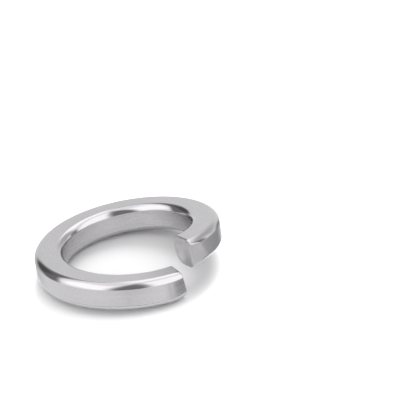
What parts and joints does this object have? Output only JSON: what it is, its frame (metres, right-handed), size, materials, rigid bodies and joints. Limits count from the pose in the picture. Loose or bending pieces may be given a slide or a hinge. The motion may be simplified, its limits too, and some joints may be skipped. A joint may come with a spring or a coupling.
{
  "type": "spring lock washer",
  "caption": "Helical spring lock washer: one turn of square-section stainless wire with rounded edges, cut through so that its ends stand apart.",
  "frame": {"origin": "centre of the bore, halfway between the washer's two ends", "axes": "+Z along the bore axis towards the high end, +X from the bore axis to the middle of the cut"},
  "size_m": [0.0292, 0.0292, 0.009],
  "materials": {
    "stainless": "polished stainless steel with fine scratches on its flats"
  },
  "bodies": {
    "root": {"washer": "stainless"}
  },
  "joints": []
}
